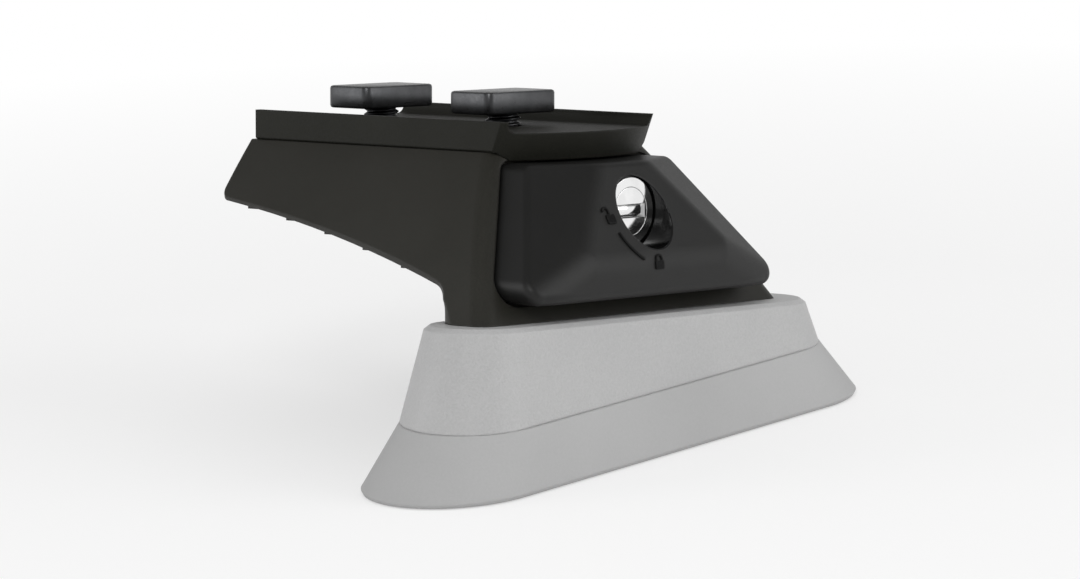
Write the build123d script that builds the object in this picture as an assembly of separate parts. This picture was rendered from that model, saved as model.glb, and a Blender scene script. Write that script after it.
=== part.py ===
from build123d import *
from math import atan, atan2, cos, hypot, radians, sin, sqrt, tan
import os

# Roof bar foot: a leg with a cantilever arm that carries the bar in a saddle, a locking
# cover over its screws, and a wedge base that stands on the roof line.
# X points outboard along the bar, Y along the roof, Z up. The origin is the middle of
# the roof face, midway between the two roof bolts.

# leg
foot_length = 96.0        # along the roof, where the leg meets the rim of the base
post_thickness = 15.0
post_wall = 2.6           # inboard wall of the post
spigot_depth = 4.0        # how far the leg drops into the base
leg_height = 34.8         # above the rim
leg_top_width = 49.0
side_bow = 1.2            # outward bow of the flared sides
face_lean = 29.2          # backward lean of the outboard face, degrees
outboard_round = 4.5      # corners of the leaning face
arm_end = -88.3
arm_end_depth = 13.0      # arm depth at its inboard tip
arm_arch = 1.62           # upward bow of the arm's underside
arm_tip_round = 3.0
arm_edge = 1.0            # bevel round the arm's lower edges
knee_height = 6.6         # where the arm's underside would meet the post, above the rim
knee_radius = 5.5
post_corner = 7.2         # corners of the post at the rim, fading out up the knee
post_corner_stop = 1.2    # below the upper end of the knee's bend
corner_cross = 0.15       # how far the rounding starts outside the faces it joins
step_count = 5
step_drop = 0.8           # how far each step stands below the underside
step_start = 17.6         # first step from the post's inboard face
step_finish = 8.8         # last step from the arm's tip

# base
roof_slope = 6.25         # rise of the roof towards +Y, degrees
roof_fall = 3.0           # fall of the roof towards +X, degrees
base_shift = 1.95         # the base reaches further along the roof on its high side
seam_reach = 12.4         # foot of the moulding past each end of the leg
seam_border = 8.25        # foot of the moulding beside the leg
moulding_end_lean = 19.4  # inward lean of the round ends, degrees
moulding_side_lean = 11.5
moulding_floor = 2.5      # plastic under the steel plate, where the wedge is thinnest
rim_bevel = 1.0
pad_thickness = 13.2
pad_end_lean = 41.0
pad_side_lean = 15.5
pad_ledge = 0.4           # pad left in view round the foot of the moulding
pad_bevel = 0.8

# saddle for the bar
saddle_floor = 4.2
saddle_lip = 2.5          # lip beside the bar, above the floor
saddle_lip_wall = 1.6
saddle_cove = 2.2         # hollow corner between lip and floor
saddle_inset = 2.3        # from the arm's inboard tip
saddle_groove = 0.5       # shadow line above the leg
tongue_setback = 0.65     # outboard corners behind the top edge of the leaning face
tongue_bulge = 8.0        # how far the middle of the tongue stands past its corners
tongue_rake = 0.42        # outboard travel for each unit of height
tongue_drop = 1.8         # how far the tongue hangs below the leg's top

# lock cover
cover_border = 3.6        # leg left in view beside the cover
cover_bottom = 4.0        # above the rim
cover_top_gap = 0.5       # under the saddle's tongue
cover_rebate = 1.0        # recess in the leaning face that the cover sits in
cover_gap = 0.6           # shadow gap round the cover
cover_seat_gap = 0.3
cover_wall = 2.2
cover_height = 12.5       # lock face above the leaning face
cover_chin = 8.0          # lower border above the leaning face
cover_brow = 6.0          # upper corners above the leaning face
chin_rise = 7.75          # from the cover's lower edge up to the lock face
ridge_length = 50.0
ridge_round = 9.0
cover_edge_round = 2.2
cover_corner = 3.5
tab_width = 1.7
tab_height = 5.0
tab_drop = 1.0            # lower edge of the tabs below the step in the hollow
tab_reach = 3.4           # from the back of the hollow
tab_gap = 0.3

# hollow in the leg behind the cover
leg_floor = 3.5           # above the foot
hollow_border = 4.0       # inside the cover's outline
hollow_sill = 1.4         # leg left in front of the hollow, below the cover
hollow_roof = 3.8         # leg left above the hollow
catch_setback = 6.1       # catch wall behind the back of the lower hollow
catch_wall = 3.0
chamber_gap = 0.8         # room for the cam behind the catch wall
chamber_roof = 3.1        # leg left above the cam's chamber

# lock
core_radius = 5.2
core_tail_radius = 3.4
sleeve_wall = 1.35
sleeve_clear = 1.0        # sleeve in front of the catch wall
sleeve_tail = 1.6         # sleeve behind its ring nut
flange_lip = 0.7
flange_thickness = 1.2
mouth_gap = 0.45          # round the flange in the cover's mouth
lock_recess = 4.0         # lock face below the cover's face
boss_wall = 2.4
ring_wall = 1.35
ring_thickness = 2.4
ring_room = 0.6           # below the ring nut, where the catch wall starts
key_width = 7.6
key_thickness = 1.6
key_depth = 11.0
key_funnel = 0.7
wafer_count = 4
wafer_pitch = 2.2
wafer_thickness = 0.8
wafer_height = 6.2
wafer_play = 0.05
wafer_sink = 0.4          # wafer ends below the core's skin
cam_length = 18.0
cam_width = 7.0
cam_thickness = 2.3
cam_gap = 0.3
cam_screw_radius = 2.0
cam_screw_length = 5.0
cam_screw_clear = 1.0     # below the end of the screw in its hole
cam_head_radius = 3.4
cam_head_height = 2.2
running_gap = 0.05

# bar bolts, M8, with heads that slide in the bar's channel
bar_bolt_radius = 4.0
bar_bolt_tail = 1.0       # thread below the nut
bar_bolt_inset = 17.8     # inboard bolt from the arm's tip
bar_head_length = 13.0
bar_head_width = 22.0
bar_head_height = 5.0
bar_head_round = 2.0
bar_head_lift = 2.8       # room for the lips of the bar's channel
bar_hole_gap = 0.3
bar_washer_radius = 8.0
bar_washer_thickness = 1.6
bar_nut_flats = 13.0
bar_nut_height = 6.5
pocket_gap = 0.6          # round the washer in its pocket
pocket_roof = 4.5
pocket_wall = 4.3         # between the outboard pocket and the cam's chamber

# leg screws, M5
leg_screw_setback = 6.1   # from the inboard face of the post
leg_screw_pitch = 52.0
leg_screw_radius = 2.5
leg_screw_reach = 5.0     # thread below the leg's foot
leg_screw_clear = 1.0     # below the end of the screw in its hole
leg_screw_gap = 0.3
leg_head_radius = 4.25
leg_head_height = 5.0
leg_head_room = 1.8       # above the heads, up to the step in the hollow
leg_key_flats = 4.0
leg_key_depth = 2.5
leg_washer_radius = 4.7
leg_washer_thickness = 1.0
spring_washer_radius = 4.2
spring_washer_thickness = 1.2
spring_washer_split = 0.8

# steel plate in the base, with holes for the M6 roof bolts
plate_thickness = 3.0
plate_gap = 0.3
fit_gap = 0.1
roof_bolt_pitch = 22.0
roof_hole_radius = 3.5
roof_head_radius = 5.5    # way through the leg's floor for the bolt heads

# planes and heights
rise = tan(radians(roof_slope))
fall = tan(radians(roof_fall))
roof = Plane((0, 0, 0), x_dir=(1 + rise**2, rise * fall, -fall), z_dir=(fall, -rise, 1))
seam = roof.offset(pad_thickness)
foot_half = foot_length / 2
top_half = leg_top_width / 2
post_half = post_thickness / 2
plate_z = pad_thickness / roof.z_dir.Z + foot_half * rise + post_half * fall + moulding_floor
foot_z = plate_z + plate_thickness
rim_z = foot_z + spigot_depth
leg_top = rim_z + leg_height
seat_z = leg_top + saddle_floor
hollow_z = foot_z + leg_floor
screw_seat_z = hollow_z + leg_washer_thickness + spring_washer_thickness
step_z = screw_seat_z + leg_head_height + leg_head_room
cover_low = rim_z + cover_bottom
cover_high = leg_top - tongue_drop - cover_top_gap
chamber_radius = cam_length / 2 + chamber_gap
lock_z = leg_top - chamber_roof - chamber_radius

# outline of the seam between moulding and pad
seam_length = foot_length + 2 * seam_reach
seam_width = post_thickness + 2 * seam_border

# leaning face and what lies behind it
lean = radians(face_lean)
face = Plane((post_half, 0, rim_z), x_dir=(0, 1, 0), z_dir=(cos(lean), 0, sin(lean)))
top_edge_x = post_half - leg_height * tan(lean)
hollow_back = post_wall - post_half
catch_front = hollow_back - catch_setback
catch_rear = catch_front - catch_wall
cam_front = catch_rear - cam_gap
cam_rear = cam_front - cam_thickness
chamber_rear = cam_rear - cam_head_height - chamber_gap
past_face = 4 * post_thickness   # well outboard of the leg, for cuts that run out of it

# lock
sleeve_radius = core_radius + running_gap + sleeve_wall
bore_radius = sleeve_radius + running_gap
ring_radius = bore_radius + ring_wall
flange_radius = sleeve_radius + flange_lip
mouth_radius = flange_radius + mouth_gap
ridge_z = cover_low + chin_rise
lock_face_x = post_half - (lock_z - rim_z) * tan(lean) + cover_height / cos(lean)
flange_front = lock_face_x - lock_recess
flange_rear = flange_front - flange_thickness
sleeve_rear = catch_front + sleeve_clear
ring_rear = sleeve_rear + sleeve_tail
boss_rear = ring_rear + ring_thickness

# places of the fasteners
pocket_radius = bar_washer_radius + pocket_gap
pocket_top = leg_top - pocket_roof
bar_bolts = [(chamber_rear - pocket_wall - pocket_radius, 0), (arm_end + bar_bolt_inset, 0)]
leg_screws = [(leg_screw_setback - post_half, side * leg_screw_pitch / 2) for side in (-1, 1)]
roof_bolts = [(0, side * roof_bolt_pitch / 2) for side in (-1, 1)]


def slot(length, width):
    # round-ended outline that lies along Y
    return SlotOverall(length, width, rotation=90)


def up(places, radius, z0, z1):
    # upright cylinders at a list of places
    circles = Sketch() + [Pos(x, y) * Circle(radius) for x, y in places]
    return extrude(Plane.XY.offset(z0) * circles, z1 - z0)


def ring_up(places, outer, inner, z0, z1):
    return up(places, outer, z0, z1) - up(places, inner, z0, z1)


def hexes(places, flats):
    return Sketch() + [Pos(x, y) * RegularPolygon(flats / 2, 6, major_radius=False) for x, y in places]


def along_x(profile, x0, x1):
    # a profile about the lock's axis, drawn from x0 to x1
    return extrude(Plane.YZ.offset(x0) * Pos(0, lock_z) * profile, x1 - x0)


def keep_below(part, plane):
    return split(part, bisect_by=plane, keep=Keep.BOTTOM)


def keep_above(part, plane):
    return split(part, bisect_by=plane, keep=Keep.TOP)


def side_y(z):
    # half width of the leg at a height: a slightly bowed flare from its top to the rim
    share = (z - rim_z) / leg_height
    return foot_half - (foot_half - top_half) * share + 4 * side_bow * share * (1 - share)


def face_x(z, height):
    # X of a point at a height above the leaning face
    return post_half - (z - rim_z) * tan(lean) + height / cos(lean)


def flared(length, width, end_lean, side_lean, height):
    # body on a round-ended outline along Y that leans in as it rises: flat sides, cones at its ends
    end = radians(end_lean)
    side = radians(side_lean)
    axis = atan((sin(end) - sin(side)) / cos(end))
    apex_z = width / 2 / tan(side)
    apex = (0, length / 2 - apex_z * tan(end), apex_z)
    reach = apex_z / cos(end)
    cone = Cone(0, reach * tan(end - axis), reach, align=(Align.CENTER, Align.CENTER, Align.MIN))
    cone = Plane(apex, x_dir=(1, 0, 0), z_dir=(0, sin(axis), -cos(axis))) * cone
    cone = keep_below(keep_above(cone, Plane.XY), Plane.XY.offset(height))
    # the flat sides run into the cone along two lines that lie in one plane
    joint = atan(tan(axis) / cos(side) ** 2)
    high = width / 2 - height * tan(side)
    section = Polygon((-width / 2, 0), (width / 2, 0), (high, height), (-high, height), align=None)
    body = extrude(Plane.XZ * section, -length)
    body = keep_below(body, Plane(apex, z_dir=(0, cos(joint), sin(joint)))) + cone
    return body + mirror(body, Plane.XZ)


def make_pad():
    length = seam_length + 2 * (pad_ledge + pad_thickness * tan(radians(pad_end_lean)))
    width = seam_width + 2 * (pad_ledge + pad_thickness * tan(radians(pad_side_lean)))
    body = flared(length, width, pad_end_lean, pad_side_lean, pad_thickness)
    body = chamfer(body.faces().sort_by(Axis.Z)[0].edges(), pad_bevel)
    body = roof * Pos(0, base_shift) * body
    return body - up(roof_bolts, roof_hole_radius, -rim_z, rim_z)


def make_moulding():
    deepest = rim_z - pad_thickness + seam_length / 2 * rise + seam_width / 2 * fall
    body = flared(seam_length, seam_width, moulding_end_lean, moulding_side_lean, deepest)
    body = keep_below(seam * Pos(0, base_shift) * body, Plane.XY.offset(rim_z))
    body = chamfer(body.faces().sort_by(Axis.Z)[-1].edges(), rim_bevel)
    recess = slot(foot_length + 2 * plate_gap, post_thickness + 2 * plate_gap)
    body -= extrude(Plane.XY.offset(plate_z) * recess, rim_z)
    body -= up(roof_bolts, roof_hole_radius, -rim_z, rim_z)
    screw_end = foot_z - leg_screw_reach - leg_screw_clear
    return body - up(leg_screws, leg_screw_radius + leg_screw_gap, screw_end, rim_z)


def make_plate():
    outline = slot(foot_length - fit_gap, post_thickness - fit_gap)
    body = extrude(Plane.XY.offset(plate_z) * outline, plate_thickness)
    body -= up(roof_bolts, roof_hole_radius, plate_z, foot_z)
    return body - up(leg_screws, leg_screw_radius + running_gap, plate_z, foot_z)


def arm_drop():
    # how far the arm's underside falls from its tip to the knee
    return leg_height - arm_end_depth - knee_height


def knee_slope():
    # slope of the arm's underside at the knee, in radians
    run = -post_half - arm_end
    return atan2(arm_drop(), run) + 2 * atan(2 * arm_arch / hypot(run, arm_drop()))


def underside_z(x):
    # height of the arm's underside, on its arc from the tip to the knee
    run = -post_half - arm_end
    chord = hypot(run, arm_drop())
    radius = (chord**2 / 4 + arm_arch**2) / (2 * arm_arch)
    centre_x = (arm_end - post_half) / 2 - arm_drop() / chord * (radius - arm_arch)
    centre_z = rim_z + knee_height + arm_drop() / 2 - run / chord * (radius - arm_arch)
    return centre_z + sqrt(radius**2 - (x - centre_x) ** 2)


def leg_profile():
    # side view of the leg: leaning face, level top, arched arm and the knee into the post
    tip = (arm_end, leg_top - arm_end_depth)
    knee = (-post_half, rim_z + knee_height)
    front = [(-post_half, rim_z), (post_half, rim_z), (top_edge_x, leg_top), (arm_end, leg_top), tip]
    outline = Polyline(*front)
    outline += SagittaArc(tip, knee, arm_arch)
    outline += Line(knee, (-post_half, rim_z))
    profile = make_face(outline)
    profile = fillet(profile.vertices().sort_by_distance(knee)[0], knee_radius)
    return fillet(profile.vertices().sort_by_distance(tip)[0], arm_tip_round)


def leg_flare():
    # end view of the leg: bowed sides from the rim up to the saddle
    middle = (rim_z + leg_top) / 2
    half = side_y(middle)
    outline = Line((-foot_half, rim_z), (foot_half, rim_z))
    outline += ThreePointArc((foot_half, rim_z), (half, middle), (top_half, leg_top))
    outline += Line((top_half, leg_top), (-top_half, leg_top))
    outline += ThreePointArc((-top_half, leg_top), (-half, middle), (-foot_half, rim_z))
    return make_face(outline)


def corner_relief():
    # rounds an inboard corner of the post, full at the rim and fading out up the knee
    bend_z = rim_z + knee_height - knee_radius * tan((radians(90) - knee_slope()) / 2)
    relief = bend_z + knee_radius * cos(knee_slope()) - post_corner_stop - rim_z
    sections = []
    for i in range(5):
        share = i / 4
        z = rim_z + relief * share
        r = post_corner + (arm_edge - post_corner) * share
        x = -post_half - knee_radius + sqrt(knee_radius**2 - max(z - bend_z, 0) ** 2) - corner_cross
        y = side_y(z) + corner_cross
        arc = RadiusArc((x + r, y), (x, y - r), -r)
        far_x = x - post_corner
        far_y = y + post_corner
        edge = Polyline((x, y - r), (far_x, y - r), (far_x, far_y), (x + r, far_y), (x + r, y))
        sections.append(Plane.XY.offset(z) * make_face(arc + edge))
    body = loft(sections)
    return body + mirror(body, Plane.XZ)


def arm_steps():
    # shallow steps across the arm's underside
    first = -post_half - step_start
    pitch = (first - arm_end - step_finish) / (step_count - 1)
    body = Part()
    for i in range(step_count):
        x = first - i * pitch
        z = underside_z(x)
        half = side_y(z) - 2 * arm_edge
        step = Box(pitch, 2 * half, 2 * step_drop, align=(Align.MIN, Align.CENTER, Align.CENTER))
        body += Pos(x, 0, z) * step
    return body


def make_leg():
    body = extrude(Plane.XZ * leg_profile(), foot_length, both=True)
    body &= extrude(Plane.YZ * leg_flare(), 2 * foot_length, both=True)
    leaning = body.faces().sort_by(Axis(face.origin, face.z_dir))[-1]
    body = fillet([e for e in leaning.edges() if abs(e.center().Y) > post_half], outboard_round)
    arm = [e for e in body.edges() if e.center().X < -post_half - knee_radius / 2]
    sides = [e for e in arm if abs(e.center().Y) > top_half]
    body = chamfer([e for e in sides if e.center().Z < leg_top - arm_edge], arm_edge)
    body -= corner_relief()
    body += extrude(Plane.XY.offset(foot_z) * slot(foot_length, post_thickness), spigot_depth)
    body += arm_steps()
    body -= make_hollow()
    body -= up(bar_bolts, pocket_radius, rim_z, pocket_top)
    body -= up(bar_bolts, bar_bolt_radius + bar_hole_gap, rim_z, leg_top)
    body -= up(leg_screws, leg_screw_radius + leg_screw_gap, foot_z, hollow_z)
    head_way = slot(roof_bolt_pitch + 2 * roof_head_radius, 2 * roof_head_radius)
    return body - extrude(Plane.XY.offset(foot_z) * head_way, leg_floor)


def hollow_half(z):
    # half width of the hollow in the leg at a height
    top = leg_top - hollow_roof
    a = side_y(hollow_z) - cover_border - hollow_border
    b = side_y(top) - cover_border - hollow_border
    return a + (b - a) * (z - hollow_z) / (top - hollow_z)


def hollow_room():
    # the space for the screws and the lock, seen from the side and from outboard
    top = leg_top - hollow_roof
    profile = Polyline(
        (past_face, cover_low),
        (face_x(cover_low, -hollow_sill), cover_low),
        (face_x(hollow_z, -hollow_sill), hollow_z),
        (hollow_back, hollow_z),
        (hollow_back, step_z),
        (catch_front, lock_z - ring_radius - ring_room),
        (catch_front, top),
        (past_face, top),
        close=True,
    )
    a = hollow_half(hollow_z)
    b = hollow_half(top)
    walls = Polygon((-a, hollow_z), (a, hollow_z), (b, top), (-b, top), align=None)
    depth = extrude(Plane.XZ * make_face(profile), foot_length, both=True)
    return depth & extrude(Plane.YZ * walls, past_face, both=True)


def make_hollow():
    # room behind the cover: rebate for its edge, hollow for the screws, catch slot and cam chamber
    rebate = extrude(Plane.YZ * cover_outline(-cover_gap), past_face, both=True)
    room = keep_above(rebate, face.offset(-cover_rebate)) + hollow_room()
    room += up(leg_screws, leg_washer_radius + leg_screw_gap, hollow_z, step_z)
    catch_slot = SlotOverall(cam_length + 2 * chamber_gap, cam_width + 2 * chamber_gap)
    room += along_x(catch_slot, catch_rear, catch_front)
    return room + along_x(Circle(chamber_radius), chamber_rear, catch_rear)


def make_saddle():
    low = leg_top - tongue_drop
    corner = top_edge_x - tongue_setback - tongue_drop * tongue_rake
    start = 2 * arm_end
    plan = Polyline((corner, -top_half), (start, -top_half), (start, top_half), (corner, top_half))
    plan += ThreePointArc((corner, top_half), (corner + tongue_bulge, 0), (corner, -top_half))
    length = (seat_z + saddle_lip - low) * hypot(tongue_rake, 1)
    body = extrude(Plane.XY.offset(low) * make_face(plan), length, dir=(tongue_rake, 0, 1))
    body = keep_above(body, Plane.YZ.offset(arm_end + saddle_inset))
    under = Polyline(
        (post_half, rim_z), (top_edge_x, leg_top), (start, leg_top), (start, rim_z), close=True
    )
    body -= extrude(Plane.XZ * make_face(under), foot_length, both=True)
    lower = body.edges().filter_by(Axis.X).group_by(Axis.Z)[0]
    body = chamfer([e for e in lower if abs(e.center().Y) > top_half - saddle_groove], saddle_groove)
    width = leg_top_width - 2 * saddle_lip_wall
    channel = Pos(0, seat_z) * Rectangle(width, 4 * saddle_lip, align=(Align.CENTER, Align.MIN))
    channel = fillet(channel.vertices().group_by(Axis.Y)[0], saddle_cove)
    body -= extrude(Plane.YZ * channel, foot_length, both=True)
    return body - up(bar_bolts, bar_bolt_radius + bar_hole_gap, low, seat_z)


def make_bar_bolts():
    under = seat_z + bar_head_lift
    end = pocket_top - bar_washer_thickness - bar_nut_height - bar_bolt_tail
    outline = fillet(Rectangle(bar_head_length, bar_head_width).vertices(), bar_head_round)
    heads = Sketch() + [Pos(x, y) * outline for x, y in bar_bolts]
    body = extrude(Plane.XY.offset(under) * heads, bar_head_height)
    return body + up(bar_bolts, bar_bolt_radius, end, under)


def make_bar_washers():
    low = pocket_top - bar_washer_thickness
    return ring_up(bar_bolts, bar_washer_radius, bar_bolt_radius + bar_hole_gap, low, pocket_top)


def make_bar_nuts():
    top = pocket_top - bar_washer_thickness
    body = extrude(Plane.XY.offset(top) * hexes(bar_bolts, bar_nut_flats), -bar_nut_height)
    return body - up(bar_bolts, bar_bolt_radius + running_gap, rim_z, leg_top)


def make_leg_washers():
    hole = leg_screw_radius + leg_screw_gap
    return ring_up(leg_screws, leg_washer_radius, hole, hollow_z, hollow_z + leg_washer_thickness)


def make_spring_washers():
    low = hollow_z + leg_washer_thickness
    body = ring_up(leg_screws, spring_washer_radius, leg_screw_radius + leg_screw_gap, low, screw_seat_z)
    split_size = (spring_washer_radius, spring_washer_split, spring_washer_thickness)
    for x, y in leg_screws:
        body -= Pos(x, y, low) * Box(*split_size, align=(Align.MIN, Align.CENTER, Align.MIN))
    return body


def make_leg_screws():
    top = screw_seat_z + leg_head_height
    body = up(leg_screws, leg_screw_radius, foot_z - leg_screw_reach, screw_seat_z)
    body += up(leg_screws, leg_head_radius, screw_seat_z, top)
    return body - extrude(Plane.XY.offset(top) * hexes(leg_screws, leg_key_flats), -leg_key_depth)


def cover_outline(inset):
    a = side_y(cover_low) - cover_border
    b = side_y(cover_high) - cover_border
    outline = Polygon((-a, cover_low), (a, cover_low), (b, cover_high), (-b, cover_high), align=None)
    outline = fillet(outline.vertices(), cover_corner)
    return offset(outline, -inset) if inset else outline


def facet(p, q, r):
    # plane through three points with its normal pointing outboard
    normal = (Vector(*q) - Vector(*p)).cross(Vector(*r) - Vector(*p)).normalized()
    return Plane(p, z_dir=normal if normal.X > 0 else normal * -1)


def cover_facets():
    # lock face, chin and the two cheeks of the cover
    chin_x = face_x(cover_low, cover_chin)
    brow_x = face_x(cover_high, cover_brow)
    ridge_x = face_x(ridge_z, cover_height)
    a = side_y(cover_low) - cover_border
    b = side_y(cover_high) - cover_border
    chin = facet((chin_x, -a, cover_low), (chin_x, a, cover_low), (ridge_x, 0, ridge_z))
    facets = [face.offset(cover_height), chin]
    for side in (-1, 1):
        corner = (ridge_x, side * ridge_length / 2, ridge_z)
        facets.append(facet((chin_x, side * a, cover_low), (brow_x, side * b, cover_high), corner))
    return facets


def cover_form(inset, rear):
    # the cover's solid form, inset for its inner side, from a plane near the leaning face
    body = extrude(Plane.YZ * cover_outline(inset), past_face, both=True)
    body = keep_above(body, face.offset(rear))
    for plane in cover_facets():
        body = keep_below(body, plane.offset(-inset))
    return body


def ridge_edges(body):
    # edges where two facets of the cover meet
    edges = []
    for edge in body.edges():
        on = [p for p in cover_facets() if abs(p.to_local_coords(edge.center()).Z) < 1e-4]
        if len(on) == 2:
            edges.append(edge)
    return edges


def rim_edges(body, rear):
    # edges between the facets and the walls that run back to the leg, except along the top
    edges = []
    for wall in body.faces():
        if abs(wall.normal_at().X) < 1e-4:
            edges += [e for e in wall.edges() if face.offset(rear).to_local_coords(e.center()).Z > 1e-3]
    fronts = [e for e in edges if abs(e.tangent_at(0.5).X) < 0.99]
    return [e for e in fronts if e.center().Z < cover_high - 1e-3]


def cover_tabs():
    # tabs that reach into the hollow and keep the cover from shifting sideways
    low = step_z - tab_drop
    y = hollow_half(low + tab_height) - tab_gap
    tab = Box(past_face, tab_width, tab_height, align=(Align.MIN, Align.MAX, Align.MIN))
    tab = Pos(hollow_back + tab_reach, y, low) * tab
    return tab + mirror(tab, Plane.XZ)


def make_cover():
    rear = cover_seat_gap - cover_rebate
    outer = cover_form(0, rear)
    outer = fillet(ridge_edges(outer), ridge_round)
    outer = fillet(rim_edges(outer, rear), cover_edge_round)
    inner = cover_form(cover_wall, rear - cover_rebate)
    room = outer + keep_below(cover_form(0, -past_face), face.offset(rear))
    boss = along_x(Circle(bore_radius + boss_wall), boss_rear, past_face)
    body = outer - inner + (room & (boss + cover_tabs()))
    body -= along_x(Circle(bore_radius), boss_rear, past_face)
    return body - along_x(Circle(mouth_radius), flange_rear, past_face)


def make_sleeve():
    body = along_x(Circle(sleeve_radius), sleeve_rear, flange_rear)
    body += along_x(Circle(flange_radius), flange_rear, flange_front)
    return body - along_x(Circle(core_radius + running_gap), sleeve_rear, flange_front)


def make_ring():
    return along_x(Circle(ring_radius) - Circle(bore_radius), ring_rear, boss_rear)


def wafers(play):
    # plates across the core, or their slots with some play
    plate = Rectangle(2 * core_radius, wafer_height + 2 * play) & Circle(core_radius - wafer_sink + play)
    half = wafer_thickness / 2 + play
    body = Part()
    for i in range(wafer_count):
        x = flange_rear - (i + 1) * wafer_pitch
        body += along_x(plate, x - half, x + half)
    return body


def key_way(play):
    profile = Rectangle(key_width + 2 * play, key_thickness + 2 * play)
    return along_x(profile, flange_front - key_depth, flange_front)


def key_mouth():
    # tapered entry of the key way
    axis = Pos(0, lock_z)
    throat = Plane.YZ.offset(flange_front - key_funnel) * axis * Rectangle(key_width, key_thickness)
    wide = Rectangle(key_width + 2 * key_funnel, key_thickness + 2 * key_funnel)
    return loft([throat, Plane.YZ.offset(flange_front) * axis * wide])


def make_core():
    body = along_x(Circle(core_radius), sleeve_rear, flange_front)
    body += along_x(Circle(core_tail_radius), cam_front, sleeve_rear)
    body -= key_way(0) + key_mouth()
    body -= wafers(wafer_play)
    hole_end = cam_front + cam_screw_length + cam_screw_clear
    return body - along_x(Circle(cam_screw_radius + running_gap), cam_front, hole_end)


def make_wafers():
    return wafers(0) - key_way(wafer_play)


def make_cam():
    profile = SlotOverall(cam_length, cam_width) - Circle(cam_screw_radius + running_gap)
    return along_x(profile, cam_rear, cam_front)


def make_cam_screw():
    body = along_x(Circle(cam_screw_radius), cam_rear, cam_front + cam_screw_length)
    return body + along_x(Circle(cam_head_radius), cam_rear - cam_head_height, cam_rear)


nodes = {
    "base_pad": make_pad,
    "base_moulding": make_moulding,
    "base_plate": make_plate,
    "leg_body": make_leg,
    "bar_saddle": make_saddle,
    "bar_bolts": make_bar_bolts,
    "bar_bolt_washers": make_bar_washers,
    "bar_bolt_nuts": make_bar_nuts,
    "leg_screws": make_leg_screws,
    "leg_screw_washers": make_leg_washers,
    "leg_spring_washers": make_spring_washers,
    "lock_cover": make_cover,
    "lock_sleeve": make_sleeve,
    "lock_core": make_core,
    "lock_wafers": make_wafers,
    "lock_ring_nut": make_ring,
    "lock_cam": make_cam,
    "cam_screw": make_cam_screw,
}

os.makedirs("parts", exist_ok=True)
for name, make in nodes.items():
    export_step(make(), "parts/" + name + ".step")
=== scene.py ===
import math

import bmesh
import bpy
from mathutils import Matrix, Vector


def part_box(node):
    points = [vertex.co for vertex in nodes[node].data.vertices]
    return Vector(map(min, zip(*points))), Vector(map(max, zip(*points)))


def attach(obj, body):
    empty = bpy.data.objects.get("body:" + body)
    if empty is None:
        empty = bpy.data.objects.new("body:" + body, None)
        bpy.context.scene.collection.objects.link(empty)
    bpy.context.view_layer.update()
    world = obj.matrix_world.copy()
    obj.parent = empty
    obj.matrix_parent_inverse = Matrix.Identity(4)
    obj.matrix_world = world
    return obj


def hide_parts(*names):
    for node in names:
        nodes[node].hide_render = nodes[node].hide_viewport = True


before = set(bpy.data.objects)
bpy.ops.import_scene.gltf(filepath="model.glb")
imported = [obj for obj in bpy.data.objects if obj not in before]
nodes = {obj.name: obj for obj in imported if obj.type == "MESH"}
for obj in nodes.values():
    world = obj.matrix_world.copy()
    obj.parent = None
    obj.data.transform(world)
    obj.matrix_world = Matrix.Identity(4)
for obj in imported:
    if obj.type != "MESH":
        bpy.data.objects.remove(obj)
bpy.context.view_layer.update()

scene = bpy.context.scene
scene.view_settings.view_transform = "Standard"
bpy.ops.object.select_all(action="DESELECT")
print("frame loaded with", len(nodes), "nodes")


# shared steps for the finishes

finish = dict(tintSpan=(0.3, 0.7), roughSpan=(0.25, 0.75), wearAndHighlightSpan=(0.995, 0.90), bevelSamples=6,
              mouldDetail=3.0, grainRough=0.6, plateDetail=4.0, scuffDetail=2.0, scuffRough=0.7)


def startFinish(name):
    mat = bpy.data.materials.new(name)
    mat.use_nodes = True
    tree = mat.node_tree
    tree.nodes.clear()
    out = tree.nodes.new("ShaderNodeOutputMaterial")
    skin = tree.nodes.new("ShaderNodeBsdfPrincipled")
    tree.links.new(skin.outputs["BSDF"], out.inputs["Surface"])
    place = tree.nodes.new("ShaderNodeTexCoord").outputs["Object"]
    return mat, tree, skin, place


def feed(tree, value, socket):
    if isinstance(value, bpy.types.NodeSocket):
        tree.links.new(value, socket)
    else:
        socket.default_value = value


def addNoise(tree, place, scale, detail, rough=0.5):
    node = tree.nodes.new("ShaderNodeTexNoise")
    node.inputs["Scale"].default_value = scale
    node.inputs["Detail"].default_value = detail
    node.inputs["Roughness"].default_value = rough
    tree.links.new(place, node.inputs["Vector"])
    return node.outputs["Fac"]


def addRamp(tree, value, lowColour, highColour):
    node = tree.nodes.new("ShaderNodeValToRGB")
    first, last = node.color_ramp.elements
    first.position, last.position = finish["tintSpan"]
    first.color = (*lowColour, 1.0)
    last.color = (*highColour, 1.0)
    tree.links.new(value, node.inputs["Fac"])
    return node.outputs["Color"]


def addRange(tree, value, fromLow, fromHigh, toLow, toHigh):
    node = tree.nodes.new("ShaderNodeMapRange")
    node.inputs["From Min"].default_value = fromLow
    node.inputs["From Max"].default_value = fromHigh
    node.inputs["To Min"].default_value = toLow
    node.inputs["To Max"].default_value = toHigh
    tree.links.new(value, node.inputs["Value"])
    return node.outputs["Result"]


def addMath(tree, operation, first, second):
    node = tree.nodes.new("ShaderNodeMath")
    node.operation = operation
    feed(tree, first, node.inputs[0])
    feed(tree, second, node.inputs[1])
    return node.outputs["Value"]


def addVector(tree, operation, *values):
    node = tree.nodes.new("ShaderNodeVectorMath")
    node.operation = operation
    for socket, value in zip(node.inputs, values):
        feed(tree, value, socket)
    return node.outputs["Value"]


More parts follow.
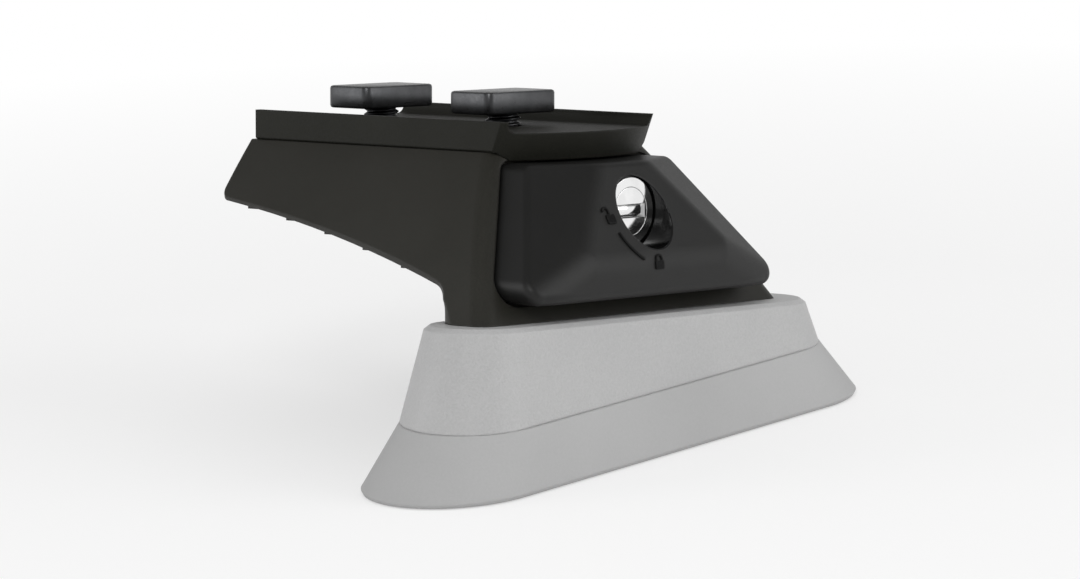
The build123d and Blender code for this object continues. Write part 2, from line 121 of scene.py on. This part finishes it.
def addMix(tree, factor, first, second, blend="MIX"):
    node = tree.nodes.new("ShaderNodeMix")
    node.data_type = "RGBA"
    node.blend_type = blend
    feed(tree, factor, node.inputs[0])
    for socket, value in zip((node.inputs[6], node.inputs[7]), (first, second)):
        feed(tree, (*value, 1.0) if isinstance(value, tuple) else value, socket)
    return node.outputs[2]


def addBevel(tree, radius):
    bevel = tree.nodes.new("ShaderNodeBevel")
    bevel.samples = finish["bevelSamples"]
    bevel.inputs["Radius"].default_value = radius
    return bevel.outputs["Normal"]


def addBump(tree, skin, height, look):
    # grain over softened edges
    bump = tree.nodes.new("ShaderNodeBump")
    bump.inputs["Strength"].default_value = look["bump"]
    bump.inputs["Distance"].default_value = look["depth"]
    tree.links.new(height, bump.inputs["Height"])
    tree.links.new(addBevel(tree, look["edge"]), bump.inputs["Normal"])
    tree.links.new(bump.outputs["Normal"], skin.inputs["Normal"])


def wearAndHighlightMask(tree, radius):
    # 1 on edges, lightened for wear and a painted highlight; 0 on open faces
    flat = tree.nodes.new("ShaderNodeNewGeometry").outputs["True Normal"]
    turned = addVector(tree, "DOT_PRODUCT", addBevel(tree, radius), flat)
    return addRange(tree, turned, *finish["wearAndHighlightSpan"], 0.0, 1.0)


def mouldedPlastic(name, look):
    # satin moulded plastic: fine eroded grain, faint flow clouds, edges lightened for wear and a
    # painted highlight
    mat, tree, skin, place = startFinish(name)
    clouds = addNoise(tree, place, look["cloudScale"], finish["mouldDetail"])
    grain = addNoise(tree, place, look["grainScale"], finish["mouldDetail"], finish["grainRough"])
    tint = addRamp(tree, clouds, look["dark"], look["light"])
    speck = addRamp(tree, grain, (look["speck"],) * 3, (1.0, 1.0, 1.0))
    tint = addMix(tree, 1.0, tint, speck, "MULTIPLY")
    # lighter edges: wear plus a painted highlight where edges catch light
    wearAndEdgeHighlight = addMath(tree, "MULTIPLY", wearAndHighlightMask(tree, look["edge"]), clouds)
    tint = addMix(tree, wearAndEdgeHighlight, tint, look["wearAndEdgeHighlight"])
    soft = addRange(tree, grain, *finish["roughSpan"], look["roughLow"], look["roughHigh"])
    if "boreZ" in look:  # polished wall of the lock's mouth, darkened with painted shade
        centre = tree.nodes.new("ShaderNodeMapping")
        centre.inputs["Location"].default_value = (0, 0, -look["boreZ"])
        centre.inputs["Scale"].default_value = (0, 1, 1)
        tree.links.new(place, centre.inputs["Vector"])
        off = addVector(tree, "LENGTH", centre.outputs["Vector"])
        wall = look["boreRadius"]
        bore = addRange(tree, off, wall, wall + look["boreFade"], 1.0, 0.0)
        # painted shade on the mouth's wall
        tint = addMix(tree, bore, tint, look["boreShadeTint"])
        polish = addRange(tree, bore, 0.0, 1.0, 1.0, look["boreGloss"])
        soft = addMath(tree, "MULTIPLY", soft, polish)
    tree.links.new(tint, skin.inputs["Base Color"])
    tree.links.new(soft, skin.inputs["Roughness"])
    skin.inputs["Specular IOR Level"].default_value = look["specular"]
    addBump(tree, skin, grain, look)
    return mat


def platedMetal(name, look):
    # plated or turned metal: cloudy tint and roughness, faint scuffs
    mat, tree, skin, place = startFinish(name)
    clouds = addNoise(tree, place, look["cloudScale"], finish["plateDetail"])
    scuffs = addNoise(tree, place, look["grainScale"], finish["scuffDetail"], finish["scuffRough"])
    tint = addRamp(tree, clouds, look["dark"], look["light"])
    soft = addRange(tree, scuffs, *finish["roughSpan"], look["roughLow"], look["roughHigh"])
    if "openFace" in look:  # painted shade: dark and dull behind the open face
        depth = tree.nodes.new("ShaderNodeSeparateXYZ")
        tree.links.new(place, depth.inputs[0])
        front = look["openFace"]
        shown = addRange(tree, depth.outputs["X"], front - look["insideFrom"],
                         front - look["insideTo"], 0.0, 1.0)
        # painted shade on the core behind its open face
        tint = addMix(tree, shown, look["inside"], tint)
        soft = addMath(tree, "ADD", soft, addRange(tree, shown, 0.0, 1.0, look["insideRough"], 0.0))
    tree.links.new(tint, skin.inputs["Base Color"])
    tree.links.new(soft, skin.inputs["Roughness"])
    skin.inputs["Metallic"].default_value = 1.0
    addBump(tree, skin, scuffs, look)
    return mat


def dress(mat, *names):
    for name in names:
        for spot in nodes[name].material_slots:
            spot.material = mat


# leg and saddle

# the lighter edge colours below are wear plus a painted highlight
legLook = dict(dark=(0.0212, 0.0203, 0.0158), light=(0.0258, 0.0248, 0.0200),
               wearAndEdgeHighlight=(0.042, 0.041, 0.038), speck=0.68, cloudScale=45, grainScale=3000,
               roughLow=0.40, roughHigh=0.58, specular=0.25, bump=0.40, depth=0.00008, edge=0.0006)
saddleLook = dict(dark=(0.0112, 0.0112, 0.0078), light=(0.0148, 0.0148, 0.0108),
                  wearAndEdgeHighlight=(0.028, 0.028, 0.026), speck=0.65, cloudScale=60, grainScale=2300,
                  roughLow=0.50, roughHigh=0.70, specular=0.18, bump=0.45, depth=0.00009, edge=0.0005)
dress(mouldedPlastic("legNylon", legLook), "leg_body")
dress(mouldedPlastic("saddleRubber", saddleLook), "bar_saddle")
print("leg and saddle dressed")


# lock cover, finer grain than the leg

coreLow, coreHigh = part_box("lock_core")
lockZ = (coreLow.z + coreHigh.z) / 2

# the lighter edge colour is wear plus a painted highlight
coverLook = dict(dark=(0.0080, 0.0080, 0.0076), light=(0.0110, 0.0109, 0.0104),
                 wearAndEdgeHighlight=(0.028, 0.028, 0.027), speck=0.72, cloudScale=50, grainScale=3600,
                 roughLow=0.36, roughHigh=0.54, specular=0.30, bump=0.35, depth=0.00006, edge=0.0005)
# the mouth's wall is darkened with painted shade
mouthLook = dict(boreZ=lockZ, boreRadius=0.0079, boreFade=0.0002, boreShadeTint=(0.003, 0.003, 0.003),
                 boreGloss=0.22)
dress(mouldedPlastic("coverPlastic", dict(coverLook, **mouthLook)), "lock_cover")
print("cover dressed")


# base moulding and pad

# the lighter edge colours below are wear plus a painted highlight
wedgeLook = dict(dark=(0.425, 0.425, 0.427), light=(0.460, 0.460, 0.460),
                 wearAndEdgeHighlight=(0.51, 0.51, 0.51), speck=0.88, cloudScale=30, grainScale=1900,
                 roughLow=0.34, roughHigh=0.60, specular=0.45, bump=0.70, depth=0.00016, edge=0.0007)
padLook = dict(dark=(0.396, 0.396, 0.396), light=(0.432, 0.432, 0.432),
               wearAndEdgeHighlight=(0.47, 0.47, 0.47), speck=0.95, cloudScale=22, grainScale=1800,
               roughLow=0.60, roughHigh=0.76, specular=0.30, bump=0.18, depth=0.00005, edge=0.0008)
dress(mouldedPlastic("wedgeGrey", wedgeLook), "base_moulding")
dress(mouldedPlastic("padRubber", padLook), "base_pad")
print("base dressed")


# lock and steel hardware

chromeLook = dict(dark=(0.80, 0.80, 0.80), light=(0.88, 0.88, 0.88), cloudScale=300,
                  grainScale=2600, roughLow=0.06, roughHigh=0.14, bump=0.04, depth=0.00002, edge=0.0002)
# the core is darkened with painted shade in the key way behind its open face
coreLook = dict(chromeLook, openFace=coreHigh.x, insideFrom=0.0016, insideTo=0.0004,
                inside=(0.045, 0.042, 0.038), insideRough=0.5)
zincLook = dict(dark=(0.50, 0.51, 0.52), light=(0.66, 0.66, 0.65), cloudScale=420,
                grainScale=2400, roughLow=0.28, roughHigh=0.46, bump=0.12, depth=0.00003, edge=0.0003)
blackZincLook = dict(dark=(0.062, 0.063, 0.066), light=(0.086, 0.087, 0.090), cloudScale=260,
                     grainScale=2600, roughLow=0.26, roughHigh=0.42, bump=0.12, depth=0.00003,
                     edge=0.0003)
brassLook = dict(dark=(0.16, 0.115, 0.05), light=(0.22, 0.16, 0.07), cloudScale=500,
                 grainScale=3000, roughLow=0.36, roughHigh=0.52, bump=0.06, depth=0.00002, edge=0.0002)
blackZinc = platedMetal("blackZinc", blackZincLook)
chrome = platedMetal("lockChrome", chromeLook)
dress(chrome, "lock_sleeve")
dress(platedMetal("coreChrome", coreLook), "lock_core")
dress(platedMetal("zincSteel", zincLook), "base_plate", "leg_screws", "leg_screw_washers",
      "leg_spring_washers", "lock_ring_nut", "lock_cam", "cam_screw")
dress(blackZinc, "bar_bolts", "bar_bolt_washers", "bar_bolt_nuts")
dress(platedMetal("waferBrass", brassLook), "lock_wafers")
print("hardware dressed")


# shared steps for the modelled pieces

smoothAngle = math.radians(35)
facingOut = (math.radians(90), 0, math.radians(90))  # a flat plane turned to face outboard


def editMode(obj):
    bpy.ops.object.select_all(action="DESELECT")
    obj.select_set(True)
    bpy.context.view_layer.objects.active = obj
    bpy.ops.object.mode_set(mode="EDIT")
    return bmesh.from_edit_mesh(obj.data)


def objectMode():
    bpy.ops.object.mode_set(mode="OBJECT")


def pickVerts(mesh, test):
    for vert in mesh.verts:
        vert.select_set(test(vert.co))
    mesh.select_flush_mode()


def pickEdges(obj, test):
    # selects the edges whose two ends pass the test
    mesh = bmesh.from_edit_mesh(obj.data)
    bpy.ops.mesh.select_all(action="DESELECT")
    bpy.ops.mesh.select_mode(type="EDGE")
    for edge in mesh.edges:
        edge.select_set(test(edge.verts[0].co, edge.verts[1].co))
    bmesh.update_edit_mesh(obj.data)


def applyPlace():
    bpy.ops.object.transform_apply(location=True, rotation=True, scale=True)


def joinPieces(name, pieces):
    bpy.ops.object.select_all(action="DESELECT")
    for piece in pieces:
        piece.select_set(True)
    bpy.context.view_layer.objects.active = pieces[0]
    bpy.ops.object.join()
    pieces[0].name = name
    return pieces[0]


# tee bolts with rolled thread

teeBolt = dict(headLength=0.013, headHeight=0.005, headRound=0.002, roundSegments=5,
               headBevel=0.0006, bevelSegments=2, level=0.0001, grip=0.001,
               crest=0.00396, root=0.00328, pitch=0.00125, steps=28, spareTurns=3,
               profile=((0, 0.10), (1, 0.34), (0, 0.14), (-1, 0.34), (0, 0.08)),
               weld=0.000002, cut=0.000001)


def threadedRod(low, high):
    # one pitch of the profile, wound up and cut flat at both ends
    look = teeBolt
    pitch = look["pitch"]
    rise = look["crest"] - look["root"]
    bpy.ops.mesh.primitive_plane_add(size=pitch, location=(look["root"], 0, low - 2 * pitch))
    applyPlace()
    rod = bpy.context.object
    editMode(rod)
    bpy.ops.mesh.select_mode(type="VERT")
    bpy.ops.mesh.select_all(action="SELECT")
    bpy.ops.mesh.merge(type="CENTER")
    for out, up in look["profile"]:
        step = (out * rise, 0, up * pitch)
        bpy.ops.mesh.extrude_vertices_move(TRANSFORM_OT_translate={"value": step})
    objectMode()
    wind = rod.modifiers.new("wind", "SCREW")
    wind.axis = "Z"
    wind.screw_offset = pitch
    wind.iterations = math.ceil((high - low) / pitch) + look["spareTurns"]
    wind.steps = wind.render_steps = look["steps"]
    wind.use_merge_vertices = True
    wind.merge_threshold = look["weld"]
    bpy.ops.object.modifier_apply(modifier="wind")
    editMode(rod)
    for height, side in ((low, -1), (high, 1)):
        bpy.ops.mesh.select_all(action="SELECT")
        bpy.ops.mesh.bisect(plane_co=(0, 0, height), plane_no=(0, 0, side), use_fill=True,
                            clear_outer=True, threshold=look["cut"])
    bpy.ops.mesh.select_all(action="SELECT")
    bpy.ops.mesh.remove_doubles(threshold=look["weld"])
    bpy.ops.mesh.normals_make_consistent(inside=False)
    objectMode()
    return rod


def teeHead(top, width):
    look = teeBolt
    size = (look["headLength"], width, look["headHeight"])
    middle = (0, 0, top - look["headHeight"] / 2)
    bpy.ops.mesh.primitive_cube_add(size=1, location=middle, scale=size)
    applyPlace()
    head = bpy.context.object
    editMode(head)
    pickEdges(head, lambda a, b: abs(a.z - b.z) > look["level"])  # upright corners
    bpy.ops.mesh.bevel(offset=look["headRound"], segments=look["roundSegments"])
    pickEdges(head, lambda a, b: abs(a.z - b.z) < look["level"])  # top and bottom rims
    bpy.ops.mesh.bevel(offset=look["headBevel"], segments=look["bevelSegments"])
    objectMode()
    return head


low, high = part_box("bar_bolts")
head = teeHead(high.z, high.y - low.y)
rod = threadedRod(low.z, high.z - teeBolt["headHeight"] + teeBolt["grip"])
first = joinPieces("teeBolts", [head, rod])
first.data.materials.clear()
first.data.materials.append(blackZinc)
bpy.ops.object.shade_smooth_by_angle(angle=smoothAngle)
bpy.ops.object.duplicate()
second = bpy.context.object
first.location.x = low.x + teeBolt["headLength"] / 2
second.location.x = high.x - teeBolt["headLength"] / 2
teeBolts = joinPieces("teeBolts", [first, second])
applyPlace()
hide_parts("bar_bolts")
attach(teeBolts, "foot")
print("tee bolts modelled")


# dust shutter in the tapered mouth of the key way, with a thin gap below it

shutter = dict(width=0.0077, height=0.0020, thickness=0.0005, sink=0.00024, lift=0.00015,
               taper=0.00045, bevel=0.00010, bevelSegments=2)

middle = (coreHigh.x - shutter["sink"] - shutter["thickness"] / 2, 0, lockZ + shutter["lift"])
bpy.ops.mesh.primitive_cube_add(size=1, location=middle,
                                scale=(shutter["thickness"], shutter["width"], shutter["height"]))
applyPlace()
flap = bpy.context.object
flap.name = "dustShutter"
mesh = editMode(flap)
bpy.ops.mesh.select_mode(type="VERT")
pickVerts(mesh, lambda co: co.x < middle[0])  # back face, drawn in to follow the taper
narrow = [1 - 2 * shutter["taper"] / shutter[side] for side in ("width", "height")]
bpy.ops.transform.resize(value=(1, *narrow), center_override=middle)
pickEdges(flap, lambda a, b: min(a.x, b.x) > middle[0])
bpy.ops.mesh.bevel(offset=shutter["bevel"], segments=shutter["bevelSegments"])
objectMode()
flap.data.materials.append(chrome)
bpy.ops.object.shade_smooth_by_angle(angle=smoothAngle)
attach(flap, "lock")
print("dust shutter modelled")


# raised lock marks on the cover: open and shut padlock with an arc between

lockMarks = dict(arcRadius=0.0111, arcStart=20.0, arcEnd=60.0, arcSteps=24, line=0.00050,
                 bodyWidth=0.0026, bodyHeight=0.0019, bodyCuts=2, corner=0.0003, cornerShare=0.35,
                 shackle=0.00085, shackleLine=0.00040, bowLift=0.0003, bowSteps=12,
                 legLift=0.00015, legHeight=0.0005, legCuts=1, openSwing=-0.0010, openLift=0.3,
                 openPlace=(-0.0112, 0.0000), shutPlace=(-0.0010, -0.0101),
                 front=0.030, thickness=0.000525, proud=0.4)
markLook = dict(coverLook, dark=(0.004, 0.004, 0.004), light=(0.006, 0.006, 0.006), specular=0.08)


def flatPlate(y, z, width, height, cuts):
    look = lockMarks
    bpy.ops.mesh.primitive_plane_add(size=1, location=(look["front"], y, lockZ + z),
                                     rotation=facingOut)
    plate = bpy.context.object
    plate.scale = (width, height, 1)
    applyPlace()
    editMode(plate)
    corner = min(look["corner"], min(width, height) * look["cornerShare"])
    bpy.ops.mesh.bevel(offset=corner, segments=2, affect="VERTICES")
    bpy.ops.mesh.select_all(action="SELECT")
    bpy.ops.mesh.quads_convert_to_tris()
    bpy.ops.mesh.subdivide(number_cuts=cuts)
    objectMode()
    return plate


def flatArc(y, z, radius, start, sweep, width, steps):
    # angles run from the left downwards, as seen from outboard
    centre = Vector((lockMarks["front"], y, lockZ + z))
    bpy.ops.mesh.primitive_plane_add(size=width, location=centre - Vector((0, radius, 0)),
                                     rotation=facingOut)
    applyPlace()
    arc = bpy.context.object
    mesh = editMode(arc)
    pickVerts(mesh, lambda co: co.z > centre.z)
    bpy.ops.mesh.delete(type="VERT")
    bpy.ops.mesh.select_all(action="SELECT")
    bpy.ops.transform.translate(value=(0, 0, width / 2))
    bpy.ops.mesh.spin(steps=steps, angle=math.radians(sweep), center=centre, axis=(-1, 0, 0))
    objectMode()
    turn = Matrix.Rotation(math.radians(start), 4, "X")
    arc.data.transform(Matrix.Translation(centre) @ turn @ Matrix.Translation(-centre))
    return arc


def padlock(place, swing, sides):
    # body and shackle, the shackle lifted and moved aside when open
    look = lockMarks
    y, z = place
    lift = abs(swing) * look["openLift"]
    body = flatPlate(y, z - look["bodyHeight"] / 2, look["bodyWidth"], look["bodyHeight"],
                     look["bodyCuts"])
    bow = flatArc(y + swing, z + look["bowLift"] + lift, look["shackle"], 180.0, 180.0,
                  look["shackleLine"], look["bowSteps"])
    legs = [flatPlate(y + swing + side * look["shackle"], z + look["legLift"] + lift / 2,
                      look["shackleLine"], look["legHeight"] + lift, look["legCuts"])
            for side in sides]
    return [body, bow, *legs]


parts = padlock(lockMarks["openPlace"], lockMarks["openSwing"], (1,))
parts += padlock(lockMarks["shutPlace"], 0.0, (-1, 1))
parts.append(flatArc(0, 0, lockMarks["arcRadius"], lockMarks["arcStart"],
                     lockMarks["arcEnd"] - lockMarks["arcStart"], lockMarks["line"],
                     lockMarks["arcSteps"]))
marks = joinPieces("lockMarks", parts)
wrap = marks.modifiers.new("wrap", "SHRINKWRAP")
wrap.target = nodes["lock_cover"]
wrap.wrap_method = "PROJECT"
wrap.use_project_x = True
wrap.use_negative_direction = True
wrap.use_positive_direction = False
bpy.ops.object.modifier_apply(modifier="wrap")
editMode(marks)
bpy.ops.mesh.select_all(action="SELECT")
bpy.ops.mesh.normals_make_consistent(inside=False)
objectMode()
for face in marks.data.polygons:
    if face.normal.x < 0:
        face.flip()
raised = marks.modifiers.new("raised", "SOLIDIFY")
raised.thickness = lockMarks["thickness"]
raised.offset = lockMarks["proud"]
bpy.ops.object.modifier_apply(modifier="raised")
marks.data.materials.append(mouldedPlastic("markPlastic", markLook))
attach(marks, "cover")
print("lock marks modelled")


# studio: pale floor along the roof line, white surround, soft lamps

studio = dict(roofNormal=(0.052026, -0.108720, 0.992709), floorSize=4.0, floorGap=0.0003,
              floorColour=(0.96, 0.96, 0.96), floorRough=0.9, floorSpecular=0.1,
              fadeStart=0.20, fadeEnd=0.55, white=0.48, ambient=0.60,
              ceiling=0.30, ceilingLow=0.10, ceilingHigh=0.60,
              darkSide=(0.70, -0.71, 0.05), darkLevel=0.45, darkFrom=0.55, darkTo=0.95)
lamps = dict(keyLamp=dict(place=(0.62, -0.95, 0.72), aim=(-0.02, 0, 0.03), size=0.45, power=4.6),
             sideLamp=dict(place=(-0.75, -0.85, 0.30), aim=(-0.05, 0, 0.04), size=0.5, power=1.7),
             fillLamp=dict(place=(1.0, 0.45, 0.5), aim=(0, 0, 0.04), size=0.8, power=3.9))

bpy.ops.mesh.primitive_plane_add(size=studio["floorSize"], location=(0, 0, 0))
floor = bpy.context.object
floor.name = "floor"
tilt = Vector((0, 0, 1)).rotation_difference(Vector(studio["roofNormal"])).to_matrix().to_4x4()
floor.data.transform(tilt @ Matrix.Translation((0, 0, -studio["floorGap"])))

floorMat, tree, skin, place = startFinish("paleFloor")
skin.inputs["Base Color"].default_value = (*studio["floorColour"], 1.0)
skin.inputs["Roughness"].default_value = studio["floorRough"]
skin.inputs["Specular IOR Level"].default_value = studio["floorSpecular"]
reach = addVector(tree, "LENGTH", place)
fade = addRange(tree, reach, studio["fadeStart"], studio["fadeEnd"], studio["white"], 1.0)
rays = tree.nodes.new("ShaderNodeLightPath").outputs
seen = addMath(tree, "MAXIMUM", rays["Is Camera Ray"], rays["Is Glossy Ray"])
seen = addMath(tree, "MAXIMUM", seen, rays["Is Transmission Ray"])
white = tree.nodes.new("ShaderNodeEmission")
white.inputs["Strength"].default_value = 1.0
blend = tree.nodes.new("ShaderNodeMixShader")
tree.links.new(addMath(tree, "MULTIPLY", fade, seen), blend.inputs["Fac"])
tree.links.new(skin.outputs["BSDF"], blend.inputs[1])
tree.links.new(white.outputs["Emission"], blend.inputs[2])
under = tree.nodes.new("ShaderNodeMixShader")  # clear from below
clear = tree.nodes.new("ShaderNodeBsdfTransparent")
back = tree.nodes.new("ShaderNodeNewGeometry").outputs["Backfacing"]
tree.links.new(back, under.inputs["Fac"])
tree.links.new(blend.outputs["Shader"], under.inputs[1])
tree.links.new(clear.outputs["BSDF"], under.inputs[2])
out = next(n for n in tree.nodes if n.type == "OUTPUT_MATERIAL")
tree.links.new(under.outputs["Shader"], out.inputs["Surface"])
floor.data.materials.append(floorMat)

world = bpy.data.worlds.new("whiteSurround")
scene.world = world
world.use_nodes = True
tree = world.node_tree
sky = next(n for n in tree.nodes if n.type == "BACKGROUND")
rays = tree.nodes.new("ShaderNodeLightPath").outputs
direction = tree.nodes.new("ShaderNodeTexCoord").outputs["Generated"]
upward = tree.nodes.new("ShaderNodeSeparateXYZ")
tree.links.new(direction, upward.inputs[0])
mirrored = addRange(tree, upward.outputs["Z"], studio["ceilingLow"], studio["ceilingHigh"],
                    1.0, studio["ceiling"])
facing = addVector(tree, "DOT_PRODUCT", direction, studio["darkSide"])
drape = addRange(tree, facing, studio["darkFrom"], studio["darkTo"],
                 1.0, studio["darkLevel"])  # dark drape in front of the foot
mirrored = addMath(tree, "MULTIPLY", mirrored, drape)
glossy = addMath(tree, "MAXIMUM", rays["Is Glossy Ray"], rays["Is Transmission Ray"])
plain = addRange(tree, rays["Is Camera Ray"], 0.0, 1.0, studio["ambient"], 1.0)
level = tree.nodes.new("ShaderNodeMix")
tree.links.new(glossy, level.inputs[0])
tree.links.new(plain, level.inputs[2])
tree.links.new(mirrored, level.inputs[3])
sky.inputs["Color"].default_value = (1.0, 1.0, 1.0, 1.0)
tree.links.new(level.outputs[0], sky.inputs["Strength"])


def addLamp(name, look):
    bpy.ops.object.light_add(type="AREA", location=look["place"])
    lamp = bpy.context.object
    lamp.name = name
    lamp.data.size = look["size"]
    lamp.data.energy = look["power"]
    beam = Vector(look["aim"]) - Vector(look["place"])
    lamp.rotation_euler = beam.to_track_quat("-Z", "Y").to_euler()


for name, look in lamps.items():
    addLamp(name, look)
print("studio lit")


# camera on the viewing line of the photograph

shot = dict(place=(0.7221, -0.7919, 0.12905), forward=(-0.68166, 0.72620, -0.08929), lens=165.0,
            sensor=36.0, clip=0.01)

bpy.ops.object.camera_add(location=shot["place"])
camera = bpy.context.object
camera.name = "photoCamera"
camera.rotation_euler = Vector(shot["forward"]).to_track_quat("-Z", "Y").to_euler()
camera.data.lens = shot["lens"]
camera.data.sensor_width = shot["sensor"]
camera.data.clip_start = shot["clip"]
scene.camera = camera
print("camera set")
